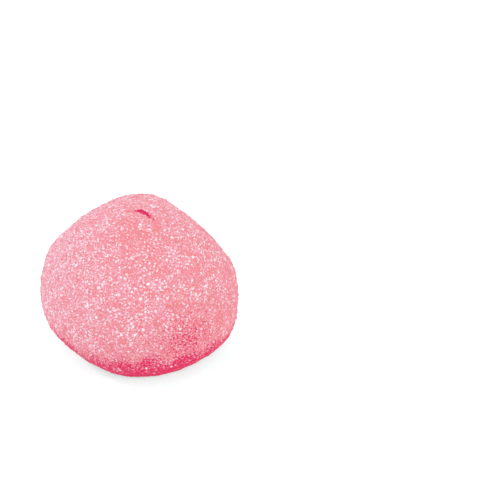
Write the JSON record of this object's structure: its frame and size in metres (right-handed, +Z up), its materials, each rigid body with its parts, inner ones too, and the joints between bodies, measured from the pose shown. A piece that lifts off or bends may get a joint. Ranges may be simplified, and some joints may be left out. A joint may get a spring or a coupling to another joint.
{
  "type": "sugared marshmallow",
  "caption": "Soft round pink marshmallow dome with a flat foot, a small folded tail on top and coarse sugar over its skin.",
  "frame": {"origin": "middle of the flat foot, on the surface that the marshmallow rests on", "axes": "+Z up through the top of the dome, -Y towards the side that the picture shows nearest, +X to that view's right"},
  "size_m": [0.0385, 0.038, 0.028],
  "materials": {
    "sugared_foam": "soft matte foam under a coat of clear and white sugar grains"
  },
  "bodies": {
    "root": {"marshmallow": "sugared_foam"}
  },
  "joints": []
}
